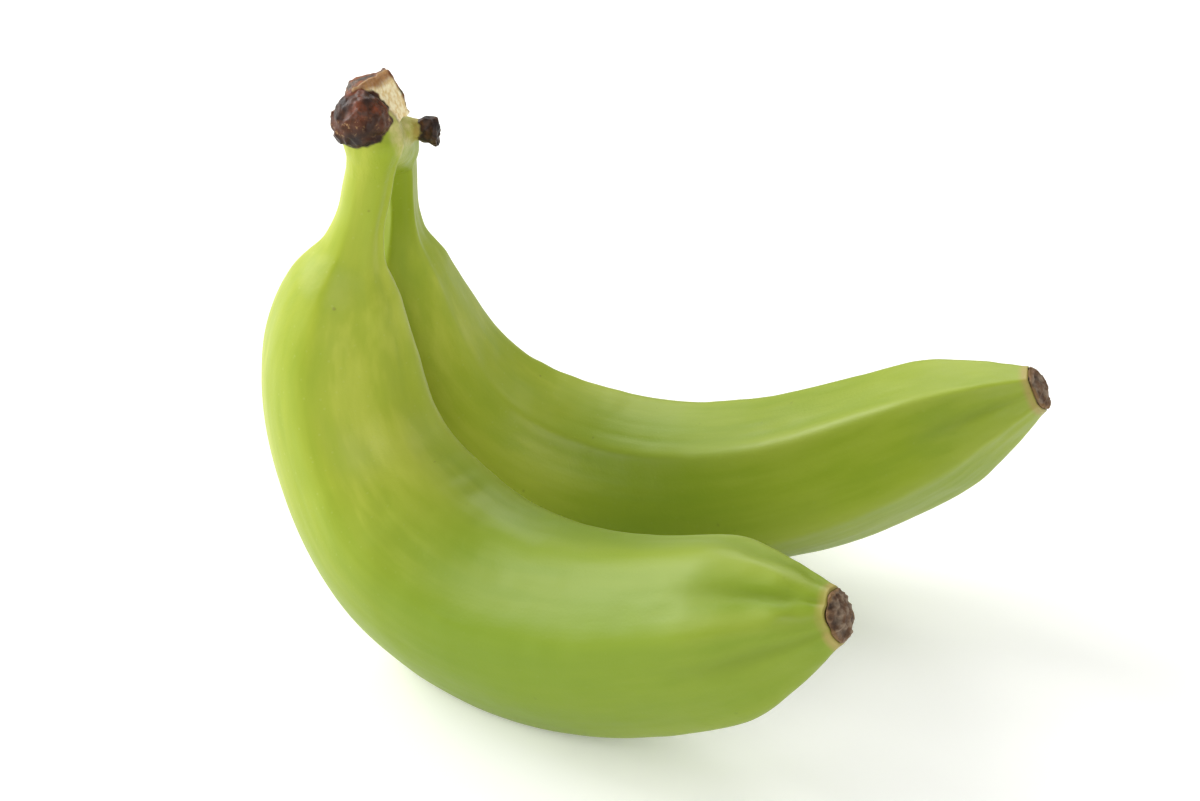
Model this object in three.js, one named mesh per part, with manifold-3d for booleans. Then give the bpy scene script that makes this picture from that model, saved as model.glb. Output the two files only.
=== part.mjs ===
/**
 * A bunch of two unripe bananas that are still joined at one cut crown.
 *
 * The bunch rests on both bellies, with its crown up and its two tips in the air. Each banana, or finger,
 * is a round profile turned about a straight axis, raised into long ridges, and then bent along the curve
 * that the finger grew in. Its belly is pressed flat where it rests. The crown is a cluster of rounded
 * lumps that both necks grow out of. A dried scab from the flower closes each tip.
 *
 * Units are millimetres and degrees, +Z is up, and the origin is on the surface that the bunch rests on,
 * at the middle of the bunch seen from above.
 */
import * as THREE from 'three';
import { mergeVertices } from 'three/addons/utils/BufferGeometryUtils.js';
import Module from 'manifold-3d';

const wasm = await Module();
wasm.setup();

// ------------------------------------------------------------------------------------ driving dimensions

const CLEARANCE = 0.3; // gap between pieces that touch
const REST_FLAT_DEPTH = 0.8; // how deep each belly is pressed flat
const FINGER_GAP = 0.5; // gap between the ridges of the two fingers at their nearest
const NECK_OFFSET = 2.5; // how far the back neck stands to the right of the front one
const NECK_SEAT = 2.5; // how far each neck reaches up into the crown

/**
 * bellyRadius, neckRadius and tipRadius are the three radii that the skin's outline is drawn from.
 * startHeading is the neck's direction, from straight down. turnRates are how fast the finger turns, in
 * degrees per whole length, at its neck, one third, two thirds and tip. fan is the direction that the
 * bend faces, about Z, and lean tilts the bend's plane about X. ridges are the angles of the long ridges
 * round the finger, from the belly towards +Y.
 */
const FRONT = {
  length: 196.5,
  bellyRadius: 20.5,
  neckRadius: 4.5,
  tipRadius: 6.2,
  startHeading: -10.5,
  turnRates: [-140, 289, 131, -47],
  fan: -38.9,
  lean: -1.1,
  ridges: [-165, -108, -22, 66, 157],
};
const BACK = {
  length: 208.5,
  bellyRadius: 17.8,
  neckRadius: 3.9,
  tipRadius: 5.4,
  startHeading: 0.4,
  turnRates: [-129, 270, 145, -72],
  fan: -14.1,
  lean: 16.2,
  ridges: [-153, -88, -12, 70, 158],
};

const NECK_SHARE = 0.12; // of a finger's length, before it swells
const RIDGE_HEIGHT = 1.0; // from the hollow between two ridges to the crest
const RIDGE_SPREAD = 19; // half width of a ridge, in degrees round the finger

const SCAB_LENGTH = 2.0; // of the dried flower scab, along the finger
const SCAB_INSET = 1.0; // how far the scab stays inside the rim of the tip

// The crown's heights are over the top of the front neck.
const SADDLE_RADIUS = 6.0; // of the rounded bar that joins the necks
const HEAD_RADIUS = 6.0; // of the lump that the crown was cut through
const HEAD_RISE = 7.6;
const HEAD_PLACE = 0.2; // share of the way from the front neck to the back one
const KNIFE_OFFSET = 2.2; // from the middle of the head to the face that the knife left
const KNIFE_FACING = [0.74, -0.66, 0.12]; // the way that face looks
const CALLUS_RADIUS = 5.9; // of the healed, dark lump over the front neck
const CALLUS_RISE = 6.8;
const STALK_RADIUS = 2.0; // of what is left of a neighbour's stalk
const STALK_REACH = 11.5; // from the saddle's middle to the stalk's end
const STALK_DROP = 1.0; // of the stalk's end under its start
const STALK_PLACE = 0.6; // share of the way from the front neck to the back one
const STUB_THICKNESS = 3.6; // of the dried end of that stalk
const STUB_RADIUS = 2.8;

// Finer than this adds nothing that can be felt.
const RINGS = 48;
const SIDES = 30;
const LUMP_SIDES = 18;

const skin = new THREE.MeshStandardMaterial({ color: 0x8fae3a, roughness: 0.45, metalness: 0 });
const bark = new THREE.MeshStandardMaterial({ color: 0x4a2c1c, roughness: 0.6, metalness: 0 });
const scab = new THREE.MeshStandardMaterial({ color: 0x5d5240, roughness: 0.85, metalness: 0 });

const radians = THREE.MathUtils.degToRad;

// --------------------------------------------------------------------------------------------- curves

/**
 * A smooth curve through stations [x, y] with rising x, which never overshoots them: the slope at an inner
 * station is the harmonic mean of its two neighbours' slopes, or 0 at a peak, and at the ends it is the
 * slope of the nearest stretch. Returns y as a function of x, and goes on straight past either end.
 */
function curveThrough(stations) {
  const last = stations.length - 1;
  const steps = stations.slice(1).map(([x, y], i) => (y - stations[i][1]) / (x - stations[i][0]));
  const slopes = stations.map((_, i) => {
    if (i === 0) return steps[0];
    if (i === last) return steps[last - 1];
    const [before, after] = [steps[i - 1], steps[i]];
    return before * after > 0 ? (2 * before * after) / (before + after) : 0;
  });
  return (x) => {
    const [start, end] = [stations[0], stations[last]];
    if (x <= start[0]) return start[1] + slopes[0] * (x - start[0]);
    if (x >= end[0]) return end[1] + slopes[last] * (x - end[0]);
    const i = stations.findIndex(([at]) => at > x) - 1;
    const width = stations[i + 1][0] - stations[i][0];
    const t = (x - stations[i][0]) / width;
    const rest = 1 - t;
    const fromLeft = rest * rest * ((1 + 2 * t) * stations[i][1] + t * width * slopes[i]);
    const fromRight = t * t * ((3 - 2 * t) * stations[i + 1][1] - rest * width * slopes[i + 1]);
    return fromLeft + fromRight;
  };
}

/** The skin's radius at each share of a finger's length, as a function of that share. */
function outlineOf({ bellyRadius, neckRadius, tipRadius }) {
  return curveThrough([
    [0, neckRadius],
    [0.06, neckRadius],
    [0.11, bellyRadius * 0.3],
    [0.16, bellyRadius * 0.54],
    [0.24, bellyRadius * 0.762],
    [0.34, bellyRadius * 0.866],
    [0.48, bellyRadius],
    [0.62, bellyRadius * 0.97],
    [0.76, bellyRadius * 0.89],
    [0.88, bellyRadius * 0.765],
    [0.96, bellyRadius * 0.464],
    [1, tipRadius],
  ]);
}

/**
 * The curve that a finger grew in, as frames one after another from its neck, which is at the origin.
 * Each frame holds the distance along the finger, the point, the direction of growth and the directions
 * of the belly and of the side. The heading is the sum of the turn rate along the finger.
 */
function spineOf(finger) {
  const steps = 400;
  const [neck, third, twoThirds, tip] = finger.turnRates;
  const turnRate = curveThrough([[0, neck], [0.33, third], [0.66, twoThirds], [1, tip]]);
  const placed = new THREE.Euler(radians(finger.lean), 0, radians(finger.fan), 'ZYX');
  const frames = [];
  const point = new THREE.Vector3();
  let heading = radians(finger.startHeading);
  for (let i = 0; i <= steps; i += 1) {
    const share = i / steps;
    const along = new THREE.Vector3(Math.sin(heading), 0, -Math.cos(heading)).applyEuler(placed);
    const belly = new THREE.Vector3(-Math.cos(heading), 0, -Math.sin(heading)).applyEuler(placed);
    const side = new THREE.Vector3(0, 1, 0).applyEuler(placed);
    frames.push({ distance: share * finger.length, point: point.clone(), along, belly, side });
    point.addScaledVector(along, finger.length / steps);
    heading += radians(turnRate(share)) / steps;
  }
  return frames;
}

/** The point on a spine at a distance, off the spine by a radius at an angle from the belly. */
function pointOnFinger(spine, distance, radius, angle) {
  const last = spine.length - 1;
  const place = (distance / spine[last].distance) * last;
  const nearest = spine[THREE.MathUtils.clamp(Math.round(place), 0, last)];
  return nearest.point
    .clone()
    .addScaledVector(nearest.along, distance - nearest.distance)
    .addScaledVector(nearest.belly, radius * Math.cos(angle))
    .addScaledVector(nearest.side, radius * Math.sin(angle));
}

// --------------------------------------------------------------------------------------------- solids

/** A closed three.js geometry as a solid that can be joined and cut. */
function toSolid(geometry) {
  const bare = geometry.clone();
  bare.deleteAttribute('normal');
  bare.deleteAttribute('uv');
  const merged = mergeVertices(bare);
  const corners = merged.index.array;
  const kept = [];
  for (let i = 0; i < corners.length; i += 3) {
    const [a, b, c] = [corners[i], corners[i + 1], corners[i + 2]];
    if (a !== b && b !== c && c !== a) kept.push(a, b, c);
  }
  const vertProperties = Float32Array.from(merged.attributes.position.array);
  const triVerts = Uint32Array.from(kept);
  return new wasm.Manifold(new wasm.Mesh({ numProp: 3, vertProperties, triVerts }));
}

/** A solid as a named mesh. */
function toMesh(name, solid, material) {
  const { vertProperties, triVerts } = solid.getMesh();
  const geometry = new THREE.BufferGeometry();
  geometry.setAttribute('position', new THREE.BufferAttribute(vertProperties, 3));
  geometry.setIndex(new THREE.BufferAttribute(triVerts, 1));
  geometry.computeVertexNormals();
  const mesh = new THREE.Mesh(geometry, material);
  mesh.name = name;
  return mesh;
}

/** How much a ridge raises the skin at an angle round the finger: 0 on average, and 1 is a full ridge. */
function ridgeRise(ridges, angle) {
  const spread = radians(RIDGE_SPREAD);
  const average = (ridges.length * spread * Math.sqrt(Math.PI)) / (2 * Math.PI);
  const rise = ridges.reduce((sum, degrees) => {
    const away = Math.atan2(Math.sin(angle - radians(degrees)), Math.cos(angle - radians(degrees)));
    return sum + Math.exp(-((away / spread) ** 2));
  }, 0);
  return rise - average;
}

/**
 * A finger as a closed geometry: its outline turned about Y, ridged, and bent along its spine. All of its
 * skin moves out by grow, ends too. The ridges start past the neck and die away at the tip.
 */
function fingerGeometry(finger, spine, grow = 0) {
  const radiusAt = outlineOf(finger);
  const ridgeAt = curveThrough([[0, 0.25], [0.16, 1], [0.9, 1], [1, 0.4]]);
  const rings = Array.from({ length: RINGS + 1 }, (_, i) => i / RINGS);
  const outline = rings.map((share) => {
    const stretch = grow * (2 * share - 1);
    return new THREE.Vector2(radiusAt(share) + grow, share * finger.length + stretch);
  });
  outline.unshift(new THREE.Vector2(0, -grow));
  outline.push(new THREE.Vector2(0, finger.length + grow));
  const geometry = new THREE.LatheGeometry(outline, SIDES);
  const position = geometry.attributes.position;
  for (let i = 0; i < position.count; i += 1) {
    const [x, distance, z] = [position.getX(i), position.getY(i), position.getZ(i)];
    const angle = Math.atan2(-z, x);
    const share = THREE.MathUtils.clamp(distance / finger.length, 0, 1);
    const flat = Math.hypot(x, z);
    const rise = RIDGE_HEIGHT * ridgeAt(share) * ridgeRise(finger.ridges, angle);
    const radius = flat > CLEARANCE ? flat + rise : 0;
    position.setXYZ(i, ...pointOnFinger(spine, distance, radius, angle).toArray());
  }
  return geometry;
}

/** A rounded lump: a ball stretched to three half sizes round its middle. */
function lump(middle, halfSizes) {
  const ball = new THREE.SphereGeometry(1, LUMP_SIDES, LUMP_SIDES / 2);
  ball.scale(...halfSizes);
  ball.translate(...middle.toArray());
  return toSolid(ball);
}

/** A straight bar with round ends, whose end balls are centred on two points. */
function roundBar(start, end, radius) {
  const along = end.clone().sub(start);
  const bar = new THREE.CapsuleGeometry(radius, along.length(), LUMP_SIDES / 3, LUMP_SIDES);
  const turn = new THREE.Quaternion().setFromUnitVectors(new THREE.Vector3(0, 1, 0), along.normalize());
  bar.applyQuaternion(turn);
  bar.translate(...start.clone().lerp(end, 0.5).toArray());
  return toSolid(bar);
}

/** All that lies past a plane, out to a reach: the plane goes through a point and faces away from it. */
function beyond(point, facing, reach) {
  const block = new THREE.BoxGeometry(reach, reach, reach).translate(0, 0, reach / 2);
  const turn = new THREE.Quaternion().setFromUnitVectors(new THREE.Vector3(0, 0, 1), facing);
  block.applyQuaternion(turn);
  block.translate(...point.toArray());
  return toSolid(block);
}

// -------------------------------------------------------------------------------------- where they stand

/** The lowest height that a finger reaches when its neck is at the origin. */
function lowestOf(finger, spine) {
  const geometry = fingerGeometry(finger, spine);
  geometry.computeBoundingBox();
  return geometry.boundingBox.min.z;
}

/** The room between the crests of two fingers' ridges, past their necks, with their necks set apart. */
function roomBetween(front, frontSpine, back, backSpine, apart) {
  const crest = RIDGE_HEIGHT / 2;
  const pastNeck = (finger) => (frame) => frame.distance > finger.length * NECK_SHARE;
  const everyTenth = (frame, i) => i % 10 === 0;
  const balls = (finger, spine, shift) => {
    const radiusAt = outlineOf(finger);
    return spine.filter(everyTenth).filter(pastNeck(finger)).map(({ point, distance }) => ({
      middle: point.clone().add(shift),
      radius: radiusAt(distance / finger.length) + crest,
    }));
  };
  const frontBalls = balls(front, frontSpine, new THREE.Vector3());
  const backBalls = balls(back, backSpine, apart);
  const room = (a, b) => a.middle.distanceTo(b.middle) - a.radius - b.radius;
  return Math.min(...frontBalls.flatMap((a) => backBalls.map((b) => room(a, b))));
}

const frontSpine = spineOf(FRONT);
const backSpine = spineOf(BACK);

// Each neck is as high as its finger needs to press its belly onto the surface at Z = 0.
const frontNeck = new THREE.Vector3(0, 0, -lowestOf(FRONT, frontSpine) - REST_FLAT_DEPTH);
const backNeck = new THREE.Vector3(NECK_OFFSET, 0, -lowestOf(BACK, backSpine) - REST_FLAT_DEPTH);

// The back neck moves away from the front one until the fingers lie side by side, by halving the doubt.
let [tooNear, farEnough] = [0, FRONT.bellyRadius + BACK.bellyRadius + FRONT.length / 2];
for (let i = 0; i < 30; i += 1) {
  backNeck.y = (tooNear + farEnough) / 2;
  const apart = backNeck.clone().sub(frontNeck);
  const room = roomBetween(FRONT, frontSpine, BACK, backSpine, apart);
  if (room < FINGER_GAP) tooNear = backNeck.y;
  else farEnough = backNeck.y;
}

// -------------------------------------------------------------------------------------------- the pieces

/** A finger in its place, grown by a clearance if one is given, and not yet pressed flat. */
function fingerSolid(finger, spine, neck, grow = 0) {
  return toSolid(fingerGeometry(finger, spine, grow).translate(...neck.toArray()));
}

/** The scab that the flower left: a low button on the end of a finger, rounded on its outer face. */
function scabMesh(name, finger, spine, neck) {
  const rim = finger.tipRadius - SCAB_INSET;
  const outline = [
    new THREE.Vector2(0, 0),
    new THREE.Vector2(rim * 0.9, 0),
    new THREE.Vector2(rim, SCAB_LENGTH * 0.35),
    new THREE.Vector2(rim * 0.82, SCAB_LENGTH * 0.8),
    new THREE.Vector2(rim * 0.4, SCAB_LENGTH),
    new THREE.Vector2(0, SCAB_LENGTH * 0.9),
  ];
  const mesh = new THREE.Mesh(new THREE.LatheGeometry(outline, LUMP_SIDES), scab);
  const end = spine[spine.length - 1];
  mesh.name = name;
  mesh.quaternion.setFromUnitVectors(new THREE.Vector3(0, 1, 0), end.along);
  mesh.position.copy(neck).add(end.point).addScaledVector(end.along, CLEARANCE);
  return mesh;
}

/**
 * The crown: a saddle along the line between the necks, a head over the front neck with one knife-cut face,
 * the healed callus in front of it, and on the right a neighbour's stalk with its dried end.
 */
function crownSolid() {
  const over = (neck, rise) => neck.clone().add(new THREE.Vector3(0, 0, rise));
  const shifted = (point, right, away, up) => point.clone().add(new THREE.Vector3(right, away, up));
  const saddleRise = SADDLE_RADIUS - NECK_SEAT;
  const saddleStart = over(frontNeck, saddleRise);
  const saddleEnd = over(backNeck, saddleRise);
  const saddle = roundBar(saddleStart, saddleEnd, SADDLE_RADIUS);

  const headMiddle = frontNeck.clone().lerp(backNeck, HEAD_PLACE).setZ(frontNeck.z + HEAD_RISE);
  const facing = new THREE.Vector3(...KNIFE_FACING).normalize();
  const knifePoint = headMiddle.clone().addScaledVector(facing, KNIFE_OFFSET);
  const head = lump(headMiddle, [HEAD_RADIUS, HEAD_RADIUS, HEAD_RADIUS * 1.15]);
  const cutHead = head.subtract(beyond(knifePoint, facing, 4 * HEAD_RADIUS));

  const callusMiddle = shifted(frontNeck, -0.6, -0.3 * CALLUS_RADIUS, CALLUS_RISE);
  const callus = lump(callusMiddle, [CALLUS_RADIUS, CALLUS_RADIUS * 0.85, CALLUS_RADIUS * 0.9]);

  const stalkStart = saddleStart.clone().lerp(saddleEnd, STALK_PLACE);
  const stalkEnd = shifted(stalkStart, STALK_REACH - STUB_THICKNESS / 2, 0, -STALK_DROP);
  const stalk = roundBar(stalkStart, stalkEnd, STALK_RADIUS);
  const stub = lump(stalkEnd, [STUB_THICKNESS / 2, STUB_RADIUS, STUB_RADIUS]);
  return saddle.add(cutHead).add(callus).add(stalk).add(stub);
}

const furthest = 4 * Math.max(FRONT.length, BACK.length);
const underSurface = beyond(new THREE.Vector3(), new THREE.Vector3(0, 0, -1), furthest);
const frontFinger = fingerSolid(FRONT, frontSpine, frontNeck).subtract(underSurface);
const backFinger = fingerSolid(BACK, backSpine, backNeck).subtract(underSurface);
const crown = crownSolid()
  .subtract(fingerSolid(FRONT, frontSpine, frontNeck, CLEARANCE))
  .subtract(fingerSolid(BACK, backSpine, backNeck, CLEARANCE));

const bunch = new THREE.Group();
bunch.add(toMesh('banana_front', frontFinger, skin));
bunch.add(toMesh('banana_back', backFinger, skin));
bunch.add(toMesh('crown', crown, bark));
bunch.add(scabMesh('blossom_tip_front', FRONT, frontSpine, frontNeck));
bunch.add(scabMesh('blossom_tip_back', BACK, backSpine, backNeck));

const box = new THREE.Box3().setFromObject(bunch, true);
const centre = box.getCenter(new THREE.Vector3());
bunch.position.set(-centre.x, -centre.y, 0);

export default bunch;
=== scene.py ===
"""The looks of a bunch of two unripe bananas that are still joined at one cut crown.

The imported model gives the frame, and every piece here stands for one of its nodes. Each banana, or finger, is
one skin worked out on a grid and bent along the curve that the finger grew in. The crown is one skin round a
field of joined lumps. A dried scab closes each tip. The frame is in metres with +Z up. Sizes with mm in their
comment are in millimetres, which is how a grower would give them, and MM turns them into metres.
"""

import logging
import math
from dataclasses import dataclass, field
from enum import Enum
from typing import Any

import bpy
import numpy as np
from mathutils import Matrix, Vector


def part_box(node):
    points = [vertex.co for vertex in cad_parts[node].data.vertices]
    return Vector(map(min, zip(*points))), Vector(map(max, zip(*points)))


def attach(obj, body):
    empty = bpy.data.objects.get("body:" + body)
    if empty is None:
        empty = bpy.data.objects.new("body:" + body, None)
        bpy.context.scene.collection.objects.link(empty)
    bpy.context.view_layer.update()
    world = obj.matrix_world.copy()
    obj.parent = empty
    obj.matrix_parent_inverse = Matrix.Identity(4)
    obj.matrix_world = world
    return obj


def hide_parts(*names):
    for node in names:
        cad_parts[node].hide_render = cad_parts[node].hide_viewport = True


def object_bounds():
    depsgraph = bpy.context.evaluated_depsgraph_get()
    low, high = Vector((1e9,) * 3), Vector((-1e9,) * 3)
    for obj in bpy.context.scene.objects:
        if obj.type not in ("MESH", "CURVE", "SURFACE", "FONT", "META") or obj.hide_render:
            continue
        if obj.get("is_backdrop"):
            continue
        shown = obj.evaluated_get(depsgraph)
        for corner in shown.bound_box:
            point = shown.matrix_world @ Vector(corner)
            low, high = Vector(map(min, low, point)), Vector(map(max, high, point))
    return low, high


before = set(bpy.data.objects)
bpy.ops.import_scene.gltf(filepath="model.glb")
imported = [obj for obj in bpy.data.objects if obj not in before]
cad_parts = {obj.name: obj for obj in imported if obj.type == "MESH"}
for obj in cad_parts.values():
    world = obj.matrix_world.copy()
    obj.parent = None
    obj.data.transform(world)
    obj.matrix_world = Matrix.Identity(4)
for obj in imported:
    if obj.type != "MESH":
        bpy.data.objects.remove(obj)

MM = 0.001
PLANT_IOR = 1.45  # of plant wax, dried latex and cork alike
Array = np.ndarray
Triple = tuple[float, float, float]
Stations = tuple[tuple[float, float], ...]
log = logging.getLogger("bunch")


class Slot(Enum):
    """The record's material slots."""

    PEEL = "green_peel"
    CALLUS = "crown_callus"
    SCAB = "flower_scab"


# ------------------------------------------------------------------------------------------ numbers and noise


def curve_through(stations: Stations, at: Array | float) -> Array:
    """A smooth curve through stations, which never overshoots them.

    Between two stations it is a cubic. Its slope at an inner station is the harmonic mean of the slopes on
    both sides, or 0 at a peak. At either end it is the slope of the nearest stretch, and goes on straight.

    Args:
        stations: pairs of x and y, with rising x.
        at: where to read the curve.

    Returns:
        The curve's y at each place.
    """
    x, y = np.array(stations, float).T
    at = np.asarray(at, float)
    step = np.diff(y) / np.diff(x)
    before, after = step[:-1], step[1:]
    same_way = before * after > 0
    inner = np.where(same_way, 2 * before * after / np.where(same_way, before + after, 1), 0)
    slope = np.concatenate([step[:1], inner, step[-1:]])
    i = np.clip(np.searchsorted(x, at, side="right") - 1, 0, len(x) - 2)
    width = x[i + 1] - x[i]
    t = (at - x[i]) / width
    rest = 1 - t
    from_left = rest * rest * ((1 + 2 * t) * y[i] + t * width * slope[i])
    from_right = t * t * ((3 - 2 * t) * y[i + 1] - rest * width * slope[i + 1])
    value = np.where(at <= x[0], y[0] + slope[0] * (at - x[0]), from_left + from_right)
    return np.where(at >= x[-1], y[-1] + slope[-1] * (at - x[-1]), value)


def ramp(value: Array, low: float, high: float) -> Array:
    """0 below low and 1 above high, with a smooth step between. It falls where low is above high."""
    t = np.clip((value - low) / (high - low), 0, 1)
    return t * t * (3 - 2 * t)


def noise(points: Array, cell: float, seed: int) -> Array:
    """Smooth random values from -1 to 1 in space.

    Every corner of a cubic lattice has a random value, which is its whole-number place scrambled by
    multiplying and mixing bits. A point blends its eight corners by a smooth step along each axis.

    Args:
        points: an array whose last axis is x, y and z.
        cell: the lattice's spacing, in the points' unit.
        seed: another number gives another pattern.

    Returns:
        One value for each point.
    """
    place = np.moveaxis(points / cell, -1, 0)
    base = np.floor(place).astype(np.int64)
    t = place - base
    t = t * t * (3 - 2 * t)
    shares = (1 - t, t)
    total = np.zeros(place.shape[1:])
    for i, j, k in np.ndindex(2, 2, 2):
        mixed = ((base[0] + i) * 73856093) ^ ((base[1] + j) * 19349663) ^ ((base[2] + k) * 83492791)
        mixed = ((mixed ^ (seed * 2654435761) ^ (mixed >> 13)) * 1274126177) & 0xFFFFFFFF
        mixed = ((mixed ^ (mixed >> 16)) * 2246822519) & 0xFFFFFFFF
        total += shares[i][0] * shares[j][1] * shares[k][2] * ((mixed ^ (mixed >> 15)) / 0x7FFFFFFF - 1)
    return total


def folds(points: Array, cell: float, seed: int) -> Array:
    """Sharp crests between round hollows, from 0 to 1: one less the size of smooth noise."""
    return 1 - np.abs(noise(points, cell, seed))


# ------------------------------------------------------------------------------------------------ mesh code


def make_piece(name: str, vertices: Array, faces: list[Array], marks: dict[str, Array]) -> bpy.types.Object:
    """A smooth-shaded mesh object at the origin, with its place in its mesh.

    Args:
        name: the piece's name.
        vertices: one row of x, y and z for each vertex, in metres.
        faces: arrays of corner numbers, each array with one row for each face.
        marks: attributes by name, with one number or one vector for each vertex.

    Returns:
        The new object, linked to the scene.
    """
    mesh = bpy.data.meshes.new(name)
    sizes = np.concatenate([np.full(len(f), f.shape[1], np.int32) for f in faces])
    corners = np.concatenate([f.ravel() for f in faces]).astype(np.int32)
    mesh.vertices.add(len(vertices))
    mesh.vertices.foreach_set("co", vertices.astype(np.float32).ravel())
    mesh.loops.add(len(corners))
    mesh.loops.foreach_set("vertex_index", corners)
    mesh.polygons.add(len(sizes))
    mesh.polygons.foreach_set("loop_start", np.cumsum(sizes) - sizes)
    mesh.polygons.foreach_set("use_smooth", np.ones(len(sizes), bool))
    for mark, values in marks.items():
        kind, key = ("FLOAT_VECTOR", "vector") if values.ndim == 2 else ("FLOAT", "value")
        layer = mesh.attributes.new(mark, kind, "POINT")
        layer.data.foreach_set(key, values.astype(np.float32).ravel())
    mesh.update(calc_edges=True)
    mesh.validate()
    piece = bpy.data.objects.new(name, mesh)
    bpy.context.scene.collection.objects.link(piece)
    return piece


def around(radius: Array | float, angle: Array, height: Array | float) -> Array:
    """Places at a radius and an angle round +Z, and at a height."""
    return np.stack(np.broadcast_arrays(radius * np.cos(angle), radius * np.sin(angle), height), axis=-1)


def capped(rings: Array, ends: Array) -> Array:
    """The rows of all rings in one list, between the rows of the two poles."""
    return np.concatenate([ends[:1], rings.reshape(-1, *ends.shape[1:]), ends[1:]])


def turn_about(axis: int, degrees: float) -> Array:
    """The matrix that turns a column about X (0), Y (1) or Z (2).

    Args:
        axis: which axis, by its number.
        degrees: how far it turns, from the next axis to the one after.

    Returns:
        The matrix, with three rows and three columns.
    """
    cosine, sine = math.cos(math.radians(degrees)), math.sin(math.radians(degrees))
    one, other = (axis + 1) % 3, (axis + 2) % 3
    matrix = np.eye(3)
    matrix[one, one] = matrix[other, other] = cosine
    matrix[one, other], matrix[other, one] = -sine, sine
    return matrix


def even_angles(sides: int) -> Array:
    """That many angles in radians, evenly round a ring."""
    return 2 * np.pi * np.arange(sides) / sides


def closed_grid_faces(rings: int, sides: int, first: int = 0) -> list[Array]:
    """The faces of a skin that is rings of vertices between two poles, each ring closed round.

    The first vertex is the first pole, then come the rings, and the last vertex is the other pole. Each face
    between two rings has its corners turned so that the skin faces outwards when rings run along +Z and
    each ring turns from +X towards +Y.

    Args:
        rings: how many rings.
        sides: how many vertices a ring has.
        first: the number of the first pole.

    Returns:
        The four-sided faces and the three-sided ones at the poles.
    """
    ids = first + 1 + np.arange(rings * sides).reshape(rings, sides)
    turned = np.roll(ids, -1, axis=1)
    quads = np.stack([ids[:-1], turned[:-1], turned[1:], ids[1:]], axis=-1).reshape(-1, 4)
    start = np.stack([np.full(sides, first), turned[0], ids[0]], axis=-1)
    end = np.stack([np.full(sides, first + 1 + rings * sides), ids[-1], turned[-1]], axis=-1)
    return [quads, np.concatenate([start, end])]


def skin_round(values: Array, origin: Array, cell: float) -> tuple[Array, Array]:
    """The skin where a field changes sign, as one vertex for each lattice cube that the skin crosses.

    A vertex is the mean of the crossings on its cube's edges, each found in proportion to the field at the
    edge's ends. Every crossed edge gives one face between its four cubes, turned towards the positive side.

    Args:
        values: the field on a lattice, negative inside, and positive all over the lattice's outer faces.
        origin: where the lattice's first corner is.
        cell: the lattice's spacing.

    Returns:
        The vertices and the four-sided faces.
    """
    cubes = np.array(values.shape) - 1
    sums = np.zeros((4, int(np.prod(cubes))))
    loops = []
    for axis in range(3):
        low = np.take(values, np.arange(cubes[axis]), axis=axis)
        high = np.take(values, np.arange(1, cubes[axis] + 1), axis=axis)
        at = np.argwhere((low < 0) != (high < 0))
        start, end = low[tuple(at.T)], high[tuple(at.T)]
        crossing = at.astype(float)
        crossing[:, axis] += start / (start - end)
        ring = []
        for shift in ((0, 0), (1, 0), (1, 1), (0, 1)):
            cube = at.copy()
            cube[:, (axis + 1) % 3] -= shift[0]
            cube[:, (axis + 2) % 3] -= shift[1]
            flat = np.ravel_multi_index(tuple(cube.T), tuple(cubes))
            ring.append(flat)
            for k in range(3):
                sums[k] += np.bincount(flat, crossing[:, k], sums.shape[1])
            sums[3] += np.bincount(flat, minlength=sums.shape[1])
        loop = np.stack(ring, axis=-1)
        loops.append(np.where((start < 0)[:, None], loop, loop[:, ::-1]))
    used = sums[3] > 0
    number = np.cumsum(used) - 1
    vertices = origin + cell * (sums[:3, used] / sums[3, used]).T
    return vertices, number[np.concatenate(loops)]


# ------------------------------------------------------------------------------------------ lumps as fields


def ball(points: Array, middle: Array, half_sizes: Array) -> Array:
    """How far points are outside a stretched ball: the scaled distance over its slope, less one.

    Args:
        points: the places.
        middle: the ball's middle.
        half_sizes: its half size along each axis.

    Returns:
        About the distance to its skin, and below 0 inside.
    """
    scaled = (points - middle) / half_sizes
    distance = np.linalg.norm(scaled, axis=-1)
    slope = np.linalg.norm(scaled / half_sizes, axis=-1)
    return distance * (distance - 1) / np.maximum(slope, 1e-9)


def bar(points: Array, start: Array, end: Array, radii: tuple[float, float]) -> Array:
    """How far points are outside a straight bar with round ends, whose radius changes evenly along it.

    Args:
        points: the places.
        start: the middle of the bar's first end.
        end: the middle of its other end.
        radii: its radius at both.

    Returns:
        The distance to its skin, and below 0 inside.
    """
    along = end - start
    share = np.clip((points - start) @ along / (along @ along), 0, 1)
    radius = radii[0] + (radii[1] - radii[0]) * share
    return np.linalg.norm(points - start - share[..., None] * along, axis=-1) - radius


@dataclass(frozen=True)
class Face:
    """One flat face of a lump: a point on it and the way that it looks."""

    through: Triple | Array
    facing: Triple

    def past(self, points: Array) -> Array:
        """How far points are past the face's plane."""
        way = np.array(self.facing)
        return (points - np.array(self.through)) @ (way / np.linalg.norm(way))


def join(one: Array, other: Array, fillet: float) -> Array:
    """The union of two fields, with a fillet of about that size where they meet."""
    near = np.maximum(fillet - np.abs(one - other), 0) / fillet
    return np.minimum(one, other) - near * near * fillet / 4


def cut(one: Array, other: Array, edge: float) -> Array:
    """What two fields share, with an edge rounded by about that size."""
    return -join(-one, -other, edge)


# -------------------------------------------------------------------------------------------------- finishes


def linear(colour: str) -> tuple[float, float, float, float]:
    """A colour written as sRGB hex, as the linear values that shaders take."""
    parts = [int(colour[i : i + 2], 16) / 255 for i in (1, 3, 5)]
    return (*(p / 12.92 if p <= 0.04045 else ((p + 0.055) / 1.055) ** 2.4 for p in parts), 1.0)


def per_metre(size: float) -> float:
    """A pattern's Scale when its cells measure size millimetres."""
    return 1 / (size * MM)


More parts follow.
